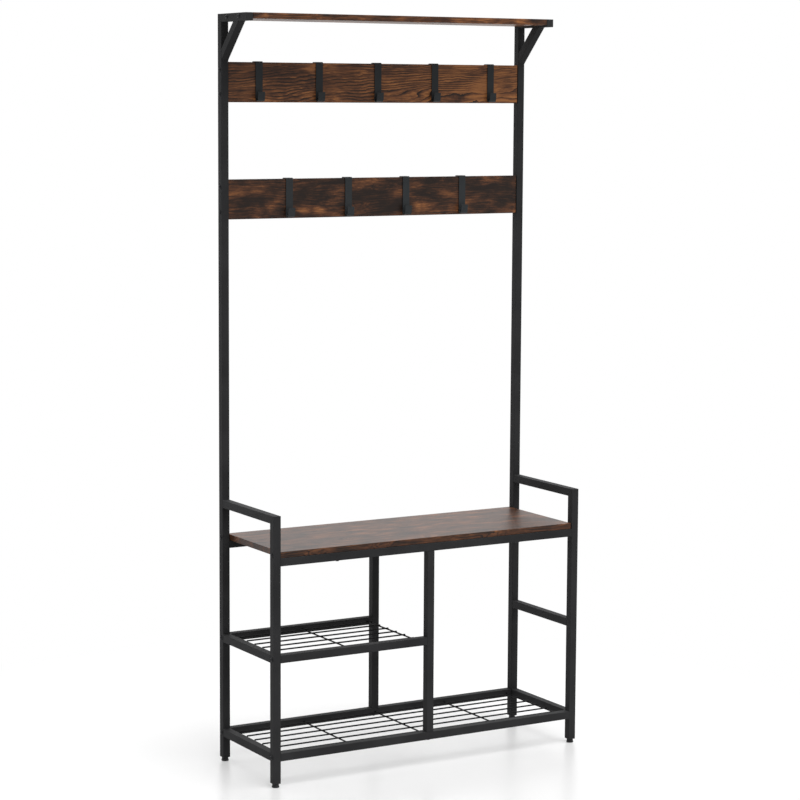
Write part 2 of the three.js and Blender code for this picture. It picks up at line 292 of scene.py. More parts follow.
def zinc_plate():
    # Bright zinc plate on steel: a cool silver with faint cloudy spangles about 6 mm across.
    colour = bpy.context.scene.hall_tree_colours.zinc
    return coat_finish("zinc_plated_steel_bright", colour, 0.3, 6 * MM, 0.01 * MM, metallic=1.0)


def black_oxide():
    # Black-oxide alloy steel, oiled: a dark grey metal with a soft shine on the domed heads.
    colour = bpy.context.scene.hall_tree_colours.oxide
    return coat_finish("black_oxide_steel_oiled", colour, 0.38, 1 * MM, 0.01 * MM, metallic=1.0)


def board_finish(name, shift, figure, charring, fade, stain):
    """Melamine face on particle board, printed with rustic oak, one print per board."""
    # The print is plain-sawn oak, stained brown and charred in patches, under a satin melamine
    # skin: warm cathedral lines up close, and a pale sheen where it is seen at a low angle.
    # Growth rings about a slanting axis are cut by the board's face. Ring spacing is 5 mm,
    # swirls are about 70 mm by 300 mm, charred patches 35 mm by 90 mm, fibres 3 mm by 140 mm, and
    # pores 0.8 mm by 25 mm. Real pores are finer, and are drawn this coarse to show.
    # figure is how strongly the ring lines show, charring how dark the patches are, and fade
    # how much paler the print grows from the left end to the right. stain darkens it all.
    colours = bpy.context.scene.hall_tree_colours
    finish, tree, place = new_finish(name)
    moved = add_node(
        tree, "Mapping", {"Vector": place, "Location": shift, "Rotation": (0.0, 0.02, 0.035)}
    ).outputs["Vector"]

    swirl_place = add_node(tree, "Mapping", {"Vector": moved, "Scale": (3.4, 14.0, 14.0)})
    swirl = add_node(
        tree,
        "TexNoise",
        {"Vector": swirl_place.outputs["Vector"], "Scale": 1.0, "Detail": 2.0, "Roughness": 0.45},
    )
    centred = add_node(
        tree,
        "VectorMath",
        {0: swirl.outputs["Color"], 1: (0.5, 0.5, 0.5)},
        operation="SUBTRACT",
    )
    bend = add_node(
        tree,
        "VectorMath",
        {0: centred.outputs["Vector"], 1: (0.0, 0.05, 0.05)},
        operation="MULTIPLY",
    )

    # Knots are about 12 mm across, one or two to a board, and the rings part round them.
    knot_place = add_node(tree, "Mapping", {"Vector": moved, "Scale": (6.5, 13.0, 13.0)})
    knots = add_node(
        tree,
        "TexVoronoi",
        {"Vector": knot_place.outputs["Vector"], "Scale": 1.0, "Randomness": 1.0},
        feature="F1",
    )
    near_knot = add_node(
        tree,
        "MapRange",
        {"Value": knots.outputs["Distance"], "From Min": 0.3, "From Max": 0.0, "To Max": 0.012},
        interpolation_type="SMOOTHSTEP",
    )
    lift = near_knot.outputs["Result"]
    lifted = add_node(tree, "CombineXYZ", {"Y": lift, "Z": lift})
    warped = add_node(tree, "VectorMath", {0: moved, 1: bend.outputs["Vector"]}, operation="ADD")
    parted = add_node(
        tree,
        "VectorMath",
        {0: warped.outputs["Vector"], 1: lifted.outputs["Vector"]},
        operation="ADD",
    )
    rings = add_node(
        tree,
        "TexWave",
        {
            "Vector": parted.outputs["Vector"],
            "Scale": 0.314 / 0.005,
            "Distortion": 4.0,
            "Detail": 3.0,
            "Detail Scale": 0.4,
            "Detail Roughness": 0.6,
        },
        wave_type="RINGS",
        rings_direction="X",
        wave_profile="SAW",
    )
    late = add_node(tree, "Math", {0: rings.outputs["Fac"], 1: 3.5}, operation="POWER")
    # The lines come and go: they are strong in some stretches of about 120 mm and faint in others.
    noise = {}
    for layer, vector, scale, detail, roughness in (
        ("stretches", moved, (8.0, 24.0, 24.0), 2.0, 0.5),
        ("patches", warped.outputs["Vector"], (11.0, 30.0, 30.0), 5.0, 0.62),
        ("fibres", parted.outputs["Vector"], (7.0, 360.0, 360.0), 4.0, 0.6),
        ("pores", parted.outputs["Vector"], (40.0, 1250.0, 1250.0), 2.0, 0.5),
    ):
        spot = add_node(tree, "Mapping", {"Vector": vector, "Scale": scale}).outputs["Vector"]
        values = {"Vector": spot, "Scale": 1.0, "Detail": detail, "Roughness": roughness}
        noise[layer] = add_node(tree, "TexNoise", values).outputs["Fac"]
    strength = add_node(
        tree,
        "MapRange",
        {"Value": noise["stretches"], "From Min": 0.38, "From Max": 0.62, "To Max": figure},
        clamp=True,
    )
    knot_core = add_node(
        tree,
        "MapRange",
        {"Value": knots.outputs["Distance"], "From Min": 0.09, "From Max": 0.03, "To Max": 0.5},
        interpolation_type="SMOOTHSTEP",
    )
    along = add_node(tree, "SeparateXYZ", {"Vector": place})

    # Darkness grows from the patches, and each layer adds to it by its weight.
    darkness = add_node(
        tree,
        "MapRange",
        {"Value": noise["patches"], "From Min": 0.34, "From Max": 0.68, "To Max": charring},
        clamp=True,
    ).outputs["Result"]
    for layer, weight in (
        (late.outputs["Value"], strength.outputs["Result"]),
        (noise["fibres"], 1.1),
        (noise["pores"], 0.14),
        (knot_core.outputs["Result"], 1.0),
        (along.outputs["X"], -fade),
    ):
        values = {0: layer, 1: weight, 2: darkness}
        darkness = add_node(tree, "Math", values, operation="MULTIPLY_ADD").outputs["Value"]
    level = add_node(
        tree,
        "MapRange",
        {"Value": darkness, "From Min": 0.62 - stain, "From Max": 1.4 - stain},
        clamp=True,
    )
    pale, middle, dark = (list(c) for c in (colours.board_pale, colours.board_mid, colours.board_dark))
    between = [math.sqrt(a * b) for a, b in zip(pale, middle)]
    low = [math.sqrt(a * b) for a, b in zip(middle, dark)]
    tone = add_node(
        tree,
        "ValToRGB",
        {"Fac": level.outputs["Result"]},
        [(0.0, pale), (1.0, dark), (0.24, between), (0.47, middle), (0.74, low)],
    )
    dull = add_node(tree, "MapRange", {"Value": noise["fibres"], "To Min": 0.36, "To Max": 0.48})
    bump = add_node(
        tree,
        "Bump",
        {"Height": noise["pores"], "Strength": 0.35, "Distance": 0.06 * MM},
    )
    close_finish(
        tree,
        {
            "Base Color": tone.outputs["Color"],
            "Roughness": dull.outputs["Result"],
            "IOR": 1.35,
            "Normal": bump.outputs["Normal"],
        },
    )
    return finish


def shared_finish(maker, name):
    """The finish of that name, made the first time that a piece needs it."""
    return bpy.data.materials.get(name) or maker()


def stand_coat():
    return shared_finish(powder_coat, "powder_coated_steel_matte_black")


# ---------- square tube ----------
def cut_ring(outline, start, direction, across, up, plane_point, plane_normal):
    """The outline slid along the tube until it lies in a cutting plane."""
    ring = []
    for a, b in outline:
        point = start + across * a + up * b
        travel = (plane_point - point).dot(plane_normal) / direction.dot(plane_normal)
        ring.append(point + direction * travel)
    return ring


def square_tube(solid, start, end, across, start_normal=None, end_normal=None):
    """A hollow square tube on a centre line, its ends cut by planes square to the given normals."""
    sizes = bpy.context.scene.hall_tree_sizes
    size = tube_size()
    direction = (end - start).normalized()
    up = direction.cross(across)
    inner_corner = max(sizes.tube_corner - sizes.tube_wall, 0.3 * MM)
    outer = rounded_rectangle(size, size, sizes.tube_corner)
    inner = rounded_rectangle(size - 2 * sizes.tube_wall, size - 2 * sizes.tube_wall, inner_corner)
    rings = []
    for outline, ends in ((outer, (0, 1)), (inner, (1, 0))):
        for i in ends:
            point, normal = ((start, start_normal), (end, end_normal))[i]
            rings.append(cut_ring(outline, start, direction, across, up, point, normal or direction))
    loft(solid, rings, closed=True)


def tube_size():
    low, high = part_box("seat_rail_front")
    return high.z - low.z


def middle_of(node):
    low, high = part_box(node)
    return (low + high) / 2


def box_line(node, axis):
    """The ends of the line through the middle of a node's box, along an axis."""
    low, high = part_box(node)
    middle = middle_of(node)
    half = axis * (high - low).dot(axis) / 2
    return middle - half, middle + half


def tube_piece(node, start, end, across, start_normal=None, end_normal=None):
    solid = bmesh.new()
    square_tube(solid, start, end, across, start_normal, end_normal)
    finished_piece(f"{node}_tube", solid, stand_coat(), STAND, [node])


def brace_line(side):
    """Where the centre line of a shelf brace meets the post and the arm."""
    low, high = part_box(f"shelf_brace_{side}")
    reach = tube_size() / 2 * math.sqrt(2)
    x = (low.x + high.x) / 2
    return Vector((x, high.y, low.z + reach)), Vector((x, low.y + reach, high.z))


class HALLTREE_OT_side_frames(bpy.types.Operator):
    """Makes the posts, legs, armrests, side rails, shelf arms and braces from square tube"""

    bl_idname = "hall_tree.side_frames"
    bl_label = "Side frames"
    bl_options = {"REGISTER", "UNDO"}

    def execute(self, context):
        half = tube_size() / 2
        mitre_front, mitre_rear = (Y + Z).normalized(), (Z - Y).normalized()
        for side in SIDES:
            for name in ("side_rail_middle", "side_rail_bottom"):
                tube_piece(f"{name}_{side}", *box_line(f"{name}_{side}", Y), X)
            tube_piece(f"rear_post_lower_{side}", *box_line(f"rear_post_lower_{side}", Z), X)
            start, end = box_line(f"front_leg_{side}", Z)
            tube_piece(f"front_leg_{side}", start, end - Z * half, X, None, mitre_front)
            start, end = box_line(f"armrest_{side}", Y)
            tube_piece(f"armrest_{side}", start + Y * half, end, X, mitre_front, None)
            start, end = box_line(f"rear_post_upper_{side}", Z)
            tube_piece(f"rear_post_upper_{side}", start, end - Z * half, X, None, mitre_rear)
            start, end = box_line(f"shelf_arm_{side}", Y)
            tube_piece(f"shelf_arm_{side}", start, end - Y * half, X, None, mitre_rear)
            start, end = brace_line(side)
            tube_piece(f"shelf_brace_{side}", start, end, X, Y, Z)
        return {"FINISHED"}


class HALLTREE_OT_cross_rails(bpy.types.Operator):
    """Makes the rails between the side frames and the two centre posts"""

    bl_idname = "hall_tree.cross_rails"
    bl_label = "Cross rails"
    bl_options = {"REGISTER", "UNDO"}

    def execute(self, context):
        for row in ROWS:
            for name in ("seat_rail", "middle_rail", "bottom_rail"):
                tube_piece(f"{name}_{row}", *box_line(f"{name}_{row}", X), Y)
            tube_piece(f"centre_post_{row}", *box_line(f"centre_post_{row}", Z), X)
        return {"FINISHED"}


# ---------- weld beads ----------
def even_loop(points, spacing):
    """A closed loop of points, spaced evenly along its length."""
    lengths = [(b - a).length for a, b in zip(points, points[1:] + points[:1])]
    total = sum(lengths)
    count = max(8, round(total / spacing))
    loop, i, passed = [], 0, 0.0
    for k in range(count):
        target = total * k / count
        while passed + lengths[i] < target:
            passed += lengths[i]
            i += 1
        share = (target - passed) / lengths[i] if lengths[i] > 0 else 0
        loop.append(points[i].lerp(points[(i + 1) % len(points)], share))
    return loop


def weld_bead(solid, centre, normal, direction, across, radius, sink, draw):
    """A rippled bead round a square tube where it meets a plane. Ripples are about 2 mm apart."""
    size = tube_size() - 2 * sink
    corner = bpy.context.scene.hall_tree_sizes.tube_corner
    up = direction.cross(across)
    outline = rounded_rectangle(size, size, corner, 3)
    loop = even_loop(cut_ring(outline, centre, direction, across, up, centre, normal), 0.8 * MM)
    phase = draw.uniform(0, 2 * math.pi)
    ripples = round(sum((b - a).length for a, b in zip(loop, loop[1:])) / (2.2 * MM))
    rings = []
    for i, point in enumerate(loop):
        along = (loop[(i + 1) % len(loop)] - loop[i - 1]).normalized()
        outward = along.cross(normal).normalized()
        swell = 1 + 0.12 * math.sin(phase + 2 * math.pi * ripples * i / len(loop))
        swell += draw.uniform(-0.05, 0.05)
        rings.append(placed(circle(radius * swell, 8), point, outward, normal))
    loft(solid, rings, closed=True)


class HALLTREE_OT_weld_beads(bpy.types.Operator):
    """Runs weld beads round the joints of each welded side frame"""

    bl_idname = "hall_tree.weld_beads"
    bl_label = "Weld beads"
    bl_options = {"REGISTER", "UNDO"}

    def execute(self, context):
        sizes = context.scene.hall_tree_sizes
        draw = random.Random(11)
        bead, seam = sizes.bead_radius, sizes.seam_radius
        bead_sink, seam_sink = 0.7 * MM, 0.35 * MM
        half = tube_size() / 2
        for side in SIDES:
            solid = bmesh.new()
            for name in ("side_rail_middle", "side_rail_bottom"):
                for end in box_line(f"{name}_{side}", Y):
                    weld_bead(solid, end, Y, Y, X, bead, bead_sink, draw)
            arm_front, arm_rear = box_line(f"armrest_{side}", Y)
            weld_bead(solid, arm_rear, Y, Y, X, bead, bead_sink, draw)
            weld_bead(solid, arm_front + Y * half, (Y + Z).normalized(), Y, X, seam, seam_sink, draw)
            finished_piece(f"lower_weld_beads_{side}", solid, stand_coat(), STAND)
            solid = bmesh.new()
            shelf_rear = box_line(f"shelf_arm_{side}", Y)[1]
            mitre = (Z - Y).normalized()
            weld_bead(solid, shelf_rear - Y * half, mitre, Y, X, seam, seam_sink, draw)
            start, end = brace_line(side)
            along = (end - start).normalized()
            weld_bead(solid, start, Y, along, X, bead, bead_sink, draw)
            weld_bead(solid, end, Z, along, X, bead, bead_sink, draw)
            finished_piece(f"upper_weld_beads_{side}", solid, stand_coat(), STAND)
        return {"FINISHED"}


# ---------- wire shelves ----------
def wire(solid, start, end, radius):
    """A straight round wire with its cut ends eased."""
    length = (end - start).length
    ease = 0.4 * MM
    profile = [
        (radius - 1.5 * ease, 0),
        (radius - 0.45 * ease, 0.35 * ease),
        (radius, 1.3 * ease),
        (radius, length - 1.3 * ease),
        (radius - 0.45 * ease, length - 0.35 * ease),
        (radius - 1.5 * ease, length),
    ]
    turned(solid, profile, start, (end - start).normalized(), 16)


def weld_nugget(solid, centre, axis, radius, rise):
    """A squashed lump of weld metal, such as spot welding leaves between two wires."""
    angles = [math.radians(a) for a in (-75, -45, -15, 15, 45, 75)]
    profile = [(radius * math.cos(a), rise * math.sin(a)) for a in angles]
    turned(solid, profile, centre, axis, 14)


def cross_wire_places(start, end, bays, inset):
    inner = [start + (end - start) * i / bays for i in range(1, bays)]
    return [start + inset, *inner, end - inset]


class HALLTREE_OT_wire_shelves(bpy.types.Operator):
    """Lays the round wires of both shoe shelves and the welds where they cross"""

    bl_idname = "hall_tree.wire_shelves"
    bl_label = "Wire shelves"
    bl_options = {"REGISTER", "UNDO"}

    def execute(self, context):
        sizes = context.scene.hall_tree_sizes
        radius = sizes.wire_diameter / 2
        inset = 15 * MM
        edge_gap = 22.5 * MM
        for name, bays in (("bottom", 4), ("middle", 2)):
            node = f"wire_shelf_{name}"
            low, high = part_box(node)
            cross_z, long_z = low.z + radius, high.z - radius
            # The long wires are cut off over the middle of the end cross wires.
            # The box ends one wire's width outside the middles of the end cross wires.
            rail_start, rail_end = low.x - inset + 2 * radius, high.x + inset - 2 * radius
            rows = sizes.long_wires
            pitch = (high.y - low.y - 2 * edge_gap) / (rows - 1)
            lines = [(i - (rows - 1) / 2) * pitch for i in range(rows)]
            places = cross_wire_places(rail_start, rail_end, bays, inset)
            solid = bmesh.new()
            for x in places:
                wire(solid, Vector((x, low.y, cross_z)), Vector((x, high.y, cross_z)), radius)
                for y in (low.y + 0.5 * MM, high.y - 0.5 * MM):
                    weld_nugget(solid, Vector((x, y, cross_z)), Y, radius + 0.8 * MM, 1.0 * MM)
            for y in lines:
                wire(solid, Vector((places[0], y, long_z)), Vector((places[-1], y, long_z)), radius)
                for x in places:
                    centre = Vector((x, y, (cross_z + long_z) / 2))
                    weld_nugget(solid, centre, Z, radius + 0.15 * MM, 0.8 * MM)
            finish = shared_finish(wire_coat, "powder_coated_steel_wire_deep_black")
            finished_piece(f"{node}_wires", solid, finish, STAND, [node])
        return {"FINISHED"}


# ---------- boards ----------
def banded_board(solid, low, high, thin):
    """A flat board with rounded edges and the fine seam of its edge band on both faces."""
    sizes = bpy.context.scene.hall_tree_sizes
    edge, band = sizes.board_edge, sizes.banding
    seam = 0.12 * MM
    axes = [axis for axis in (X, Y, Z) if axis.dot(thin) == 0]
    size = high - low
    width, height, thickness = (size.dot(axis) for axis in (*axes, thin))
    face = [
        (band + 2 * seam, 0),
        (band + seam, seam),
        (band, 0),
        (edge, 0),
        (edge * 0.617, edge * 0.076),
        (edge * 0.293, edge * 0.293),
        (edge * 0.076, edge * 0.617),
        (0, edge),
    ]
    profile = face + [(inset, thickness - rise) for inset, rise in reversed(face)]
    base = (low + high) / 2 - thin * thickness / 2
    rings = []
    for inset, rise in profile:
        corner = max(1.6 * MM - inset, 0.3 * MM)
        outline = rounded_rectangle(width - 2 * inset, height - 2 * inset, corner, 3)
        rings.append(placed(outline, base + thin * rise, *axes))
    loft(solid, rings)


class HALLTREE_OT_boards(bpy.types.Operator):
    """Makes the seat, the top shelf and both hook boards, each with its own print"""

    bl_idname = "hall_tree.boards"
    bl_label = "Boards"
    bl_options = {"REGISTER", "UNDO"}

    def execute(self, context):
        boards = {
            "seat_board": (Z, (1.31, 0.21, -0.53), 0.5, 0.4, 0.06, 0.26),
            "top_shelf_board": (Z, (2.77, 0.05, -1.93), 0.4, 0.45, 0.1, 0.1),
            "hook_board_upper": (Y, (4.13, -0.20, -1.66), 0.95, 0.36, 0.3, 0.0),
            "hook_board_lower": (Y, (6.61, -0.22, -1.51), 0.25, 0.72, 0.04, 0.16),
        }
        for node, (thin, shift, *print_values) in boards.items():
            finish = board_finish(f"melamine_rustic_oak_print_{node}", shift, *print_values)
            solid = bmesh.new()
            banded_board(solid, *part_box(node), thin)
            finished_piece(f"{node}_panel", solid, finish, STAND, [node])
        return {"FINISHED"}


# ---------- hooks ----------
def arc(centre, radius, start, end, steps):
    angles = [math.radians(start + (end - start) * i / steps) for i in range(steps + 1)]
    return [(centre[0] + radius * math.cos(a), centre[1] + radius * math.sin(a)) for a in angles]


def hook_line(node, board):
    """The strap's centre line as (depth, height), from the tail behind the board to the lip."""
    sizes = bpy.context.scene.hall_tree_sizes
    half = sizes.strap_thickness / 2
    (low, high), (board_low, board_high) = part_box(node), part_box(board)
    tail, lip_height, lip_flare = 25 * MM, 24 * MM, 1.5 * MM
    clearance = 0.35 * MM
    bend = 0.9 * MM + half
    mouth = (10 * MM + sizes.strap_thickness) / 2
    back, top, bottom = high.y - half, high.z - half, low.z + half
    front = board_low.y - clearance - half
    line = [(back, board_high.z - tail)]
    line += arc((back - bend, top - bend), bend, 0, 90, 8)
    line += arc((front + bend, top - bend), bend, 90, 180, 8)
    line += arc((front - mouth, bottom + mouth), mouth, 0, -180, 28)
    line.append((front - 2 * mouth - lip_flare, low.z + lip_height))
    return line


def bent_strap(solid, line, x, width):
    """Flat steel bent along a line, with rounded edges and eased ends."""
    sizes = bpy.context.scene.hall_tree_sizes
    thickness, edge = sizes.strap_thickness, sizes.strap_edge
    points = [Vector((x, y, z)) for y, z in line]
    first, last = (points[1] - points[0]).normalized(), (points[-1] - points[-2]).normalized()
    ends = [(0.0, edge), (0.3 * edge, 0.29 * edge), (edge, 0.0)]
    stations = [(points[0] + first * along, first, inset) for along, inset in ends]
    for before, point, after in zip(points, points[1:], points[2:]):
        stations.append((point, (after - before).normalized(), 0.0))
    stations += [(points[-1] - last * along, last, inset) for along, inset in reversed(ends)]
    rings = []
    for point, along, inset in stations:
        corner = max(edge - inset, 0.05 * MM)
        outline = rounded_rectangle(width - 2 * inset, thickness - 2 * inset, corner, 3)
        rings.append(placed(outline, point, X, along.cross(X)))
    loft(solid, rings)


class HALLTREE_OT_hooks(bpy.types.Operator):
    """Bends the nine slide-on hooks, each of which rides on its own body"""

    bl_idname = "hall_tree.hooks"
    bl_label = "Hooks"
    bl_options = {"REGISTER", "UNDO"}

    def execute(self, context):
        finish = shared_finish(hook_coat, "powder_coated_steel_satin_black")
        for row, count in (("upper", 5), ("lower", 4)):
            for i in range(1, count + 1):
                node = f"hook_{row}_{i}"
                low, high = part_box(node)
                solid = bmesh.new()
                line = hook_line(node, f"hook_board_{row}")
                bent_strap(solid, line, (low.x + high.x) / 2, high.x - low.x)
                finished_piece(f"{node}_strap", solid, finish, node, [node])
        return {"FINISHED"}


# ---------- caps, plugs and levelling feet ----------
def square_steps(solid, size, corner, steps, origin, axis, across, other):
    """A square solid from (inset, height) steps, such as a bevelled plate on a stem."""
    rings = []
    for inset, height in steps:
        outline = rounded_rectangle(size - 2 * inset, size - 2 * inset, max(corner - inset, 0.4 * MM))
        rings.append(placed(outline, origin + axis * height, across, other))
    loft(solid, rings)


class HALLTREE_OT_caps(bpy.types.Operator):
    """Makes the end caps of the shelf arms and the plugs in the feet of the legs"""

    bl_idname = "hall_tree.caps"
    bl_label = "Caps and plugs"
    bl_options = {"REGISTER", "UNDO"}

    def execute(self, context):
        finish = shared_finish(moulded_plastic, "moulded_polypropylene_black")
        corner = context.scene.hall_tree_sizes.tube_corner
        size = tube_size()
        stem = 1.6 * MM
        for side in SIDES:
            node = f"arm_end_cap_{side}"
            low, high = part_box(node)
            depth = high.y - low.y
            front = Vector(((low.x + high.x) / 2, low.y, (low.z + high.z) / 2))
            steps = [(1.7 * MM, 0), (0.8 * MM, 0.2 * MM), (0.2 * MM, 0.7 * MM), (0, 1.2 * MM)]
            steps += [(0, 2 * MM), (stem, 2 * MM), (stem, depth - 1 * MM), (stem + 0.6 * MM, depth)]
            solid = bmesh.new()
            square_steps(solid, size, corner, steps, front, Y, Z, X)
            finished_piece(f"{node}_moulding", solid, finish, STAND, [node])
            for row in ROWS:
                node = f"foot_plug_{row}_{side}"
                low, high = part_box(node)
                height = high.z - low.z
                base = Vector(((low.x + high.x) / 2, (low.y + high.y) / 2, low.z))
                steps = [(1.6 * MM, 0), (0.75 * MM, 0.35 * MM), (0.15 * MM, 1.0 * MM), (0, 1.3 * MM)]
                steps += [(0, 2.2 * MM), (stem, 2.2 * MM)]
                steps += [(stem, height - 1 * MM), (stem + 0.6 * MM, height)]
                solid = bmesh.new()
                square_steps(solid, size, corner, steps, base, Z, X, Y)
                # A raised boss guides the stud where it leaves the plug.
                boss = [(4.4 * MM, 0.0), (4.4 * MM, 0.5 * MM)]
                turned(solid, boss, base - Z * 0.25 * MM, Z, 32)
                finished_piece(f"{node}_moulding", solid, finish, STAND, [node])
        return {"FINISHED"}


def threaded_stud(solid, base, height, pitch):
    """A 6 mm stud with a right-hand thread above a round collar, as one closed skin."""
    steps = 32
    per_pitch = 8
    collar, crest, root = 4.5 * MM, 3.0 * MM, 2.45 * MM
    collar_top, ease = 3 * MM, 0.8 * MM
    count = round((height - collar_top) / pitch * per_pitch)
    heights = [collar_top + pitch * i / per_pitch for i in range(count)]
    profile = [(collar - 0.3 * MM, 0.0), (collar, 0.3 * MM), (collar, collar_top - 0.3 * MM)]
    profile += [(collar - 0.3 * MM, collar_top)]
    rings = [placed(circle(radius, steps), base + Z * rise, X, Y) for radius, rise in profile]
    for rise in heights:
        ring = []
        fade = min(1, max(0, (height - rise) / ease))
        for i in range(steps):
            turn = i / steps
            wave = abs(2 * ((rise / pitch - turn) % 1) - 1)
            depth = root + (crest - root) * min(1, wave * 1.15)
            radius = min(depth, crest - (1 - fade) * 0.9 * MM)
            angle = 2 * math.pi * turn
            ring.append(base + Vector((radius * math.cos(angle), radius * math.sin(angle), rise)))
        rings.append(ring)
    rings.append(placed(circle(crest - 0.95 * MM, steps), base + Z * height, X, Y))
    loft(solid, rings)


class HALLTREE_OT_feet(bpy.types.Operator):
    """Makes the four levelling feet: a threaded stud and a tapered pad on each"""

    bl_idname = "hall_tree.feet"
    bl_label = "Levelling feet"
    bl_options = {"REGISTER", "UNDO"}

    def execute(self, context):
        sizes = context.scene.hall_tree_sizes
        plastic = shared_finish(moulded_plastic, "moulded_polypropylene_black")
        zinc = shared_finish(zinc_plate, "zinc_plated_steel_bright")
        for side in SIDES:
            for row in ROWS:
                stud = f"foot_stud_{row}_{side}"
                low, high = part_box(stud)
                base = Vector(((low.x + high.x) / 2, (low.y + high.y) / 2, low.z))
                solid = bmesh.new()
                threaded_stud(solid, base, high.z - low.z, sizes.thread_pitch)
                finished_piece(f"{stud}_threaded", solid, zinc, stud, [stud], crease=70)

                pad = f"foot_pad_{row}_{side}"
                low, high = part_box(pad)
                centre = Vector(((low.x + high.x) / 2, (low.y + high.y) / 2, low.z))
                bottom, top, height = (high.x - low.x) / 2, sizes.pad_top / 2, high.z - low.z
                pocket, floor = 4.8 * MM, 2.7 * MM
                profile = [(bottom - 1.6 * MM, 0.0), (bottom - 0.7 * MM, 0.15 * MM)]
                profile += [(bottom - 0.15 * MM, 0.7 * MM), (bottom, 1.5 * MM)]
                for share in (0.2, 0.45, 0.7, 0.9):
                    # The sides draw in slightly hollow towards the top.
                    draw_in = math.sin(share * math.pi / 2) ** 0.9
                    radius = bottom - (bottom - top) * draw_in
                    profile.append((radius, 1.5 * MM + (height - 2.4 * MM) * share))
                profile += [(top - 0.1 * MM, height - 0.5 * MM), (top - 0.5 * MM, height - 0.1 * MM)]
                profile += [(top - 0.9 * MM, height), (pocket + 0.4 * MM, height)]
                profile += [(pocket, height - 0.4 * MM), (pocket, floor)]
                solid = bmesh.new()
                turned(solid, profile, centre, Z, 48)
                finished_piece(f"{pad}_moulding", solid, plastic, pad, [pad])
        return {"FINISHED"}


# ---------- bolts ----------
def button_bolt(solid, seat_point, axis, shank):
    """An M6 button head with a hex socket, standing on a face, and its shank behind the face."""
    sizes = bpy.context.scene.hall_tree_sizes
    head = sizes.bolt_head / 2
    rise = 3 * MM
    steps = 36
    profile = [(2.2 * MM, -shank), (3 * MM, -shank + 0.8 * MM), (3 * MM, 0.0), (head - 0.15 * MM, 0.0)]
    profile += [(head, 0.15 * MM), (head, 0.55 * MM)]
    full = math.radians(72)
    for angle in (12, 26, 40, 54, 66):
        turn = math.radians(angle)
        radius = head - (head - 2.9 * MM) * (1 - math.cos(turn)) / (1 - math.cos(full))
        height = 0.55 * MM + (rise - 0.6 * MM) * math.sin(turn) / math.sin(full)
        profile.append((radius, height))
    profile.append((2.75 * MM, rise))
    profile.append((hexagon(sizes.bolt_socket + 0.3 * MM, steps), rise))
    profile.append((hexagon(sizes.bolt_socket, steps), rise - 0.15 * MM))
    profile.append((hexagon(sizes.bolt_socket, steps), rise - 1.9 * MM))
    profile.append((circle(0.5 * MM, steps), rise - 2.3 * MM))
    turned(solid, profile, seat_point, axis, steps)


class HALLTREE_OT_bolts(bpy.types.Operator):
    """Sets the button-head bolts that hold the boards, rails and centre posts to the side frames"""

    bl_idname = "hall_tree.bolts"
    bl_label = "Bolts"
    bl_options = {"REGISTER", "UNDO"}

    def execute(self, context):
        finish = shared_finish(black_oxide, "black_oxide_steel_oiled")
        half = tube_size() / 2
        shank, seat_shank = 8 * MM, 28 * MM
        upper_spread, lower_spread = 30 * MM, 32 * MM
        shelf_depths, shelf_drop = (33 * MM, 99 * MM), 1 * MM
        rear_y, front_y = middle_of("seat_rail_rear").y, middle_of("seat_rail_front").y
        seat_z, shelf_z = middle_of("seat_board").z, middle_of("top_shelf_board").z
        bottom_z, middle_z = middle_of("bottom_rail_front").z, middle_of("middle_rail_front").z
        upper_z, lower_z = middle_of("hook_board_upper").z, middle_of("hook_board_lower").z
        for side, sign in SIDES.items():
            face_x = sign * (abs(middle_of(f"front_leg_{side}").x) + half)
            places = {
                "hook_board_upper": [(rear_y, upper_z + k * upper_spread) for k in (1, -1)],
                "hook_board_lower": [(rear_y, lower_z + k * lower_spread) for k in (1, -1)],
                "top_shelf": [(depth, shelf_z - shelf_drop) for depth in shelf_depths],
                "seat": [(front_y, seat_z), (rear_y, seat_z)],
                "bottom_rail": [(front_y, bottom_z), (rear_y, bottom_z)],
            }
            if side == "left":
                places["middle_rail"] = [(front_y, middle_z), (rear_y, middle_z)]
            for name, spots in places.items():
                solid = bmesh.new()
                for y, z in spots:
                    button_bolt(solid, Vector((face_x, y, z)), X * sign, shank)
                finished_piece(f"{name}_bolts_{side}", solid, finish, STAND)

        for row in ROWS:
            post = middle_of(f"centre_post_{row}")
            under = Vector((post.x, post.y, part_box(f"bottom_rail_{row}")[0].z))
            beside = Vector((post.x + half, post.y, middle_z))
            solid = bmesh.new()
            button_bolt(solid, under, -Z, shank)
            button_bolt(solid, beside, X, shank)
            finished_piece(f"centre_post_bolts_{row}", solid, finish, STAND)
            for side in SIDES:
                node = f"seat_bolt_{row}_{side}"
                spot = middle_of(node)
                spot.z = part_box(f"seat_rail_{row}")[0].z
                solid = bmesh.new()
                button_bolt(solid, spot, -Z, seat_shank)
                finished_piece(f"{node}_button_head", solid, finish, STAND, [node])
        return {"FINISHED"}


class HALLTREE_OT_post_sleeves(bpy.types.Operator):
    """Plates the hidden sleeves that join the two halves of each rear post"""

    bl_idname = "hall_tree.post_sleeves"
    bl_label = "Post sleeves"
    bl_options = {"REGISTER", "UNDO"}

    def execute(self, context):
        finish = shared_finish(zinc_plate, "zinc_plated_steel_bright")
        for side in SIDES:
            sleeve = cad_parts[f"post_sleeve_{side}"]
            sleeve.data.materials.clear()
            sleeve.data.materials.append(finish)
        return {"FINISHED"}


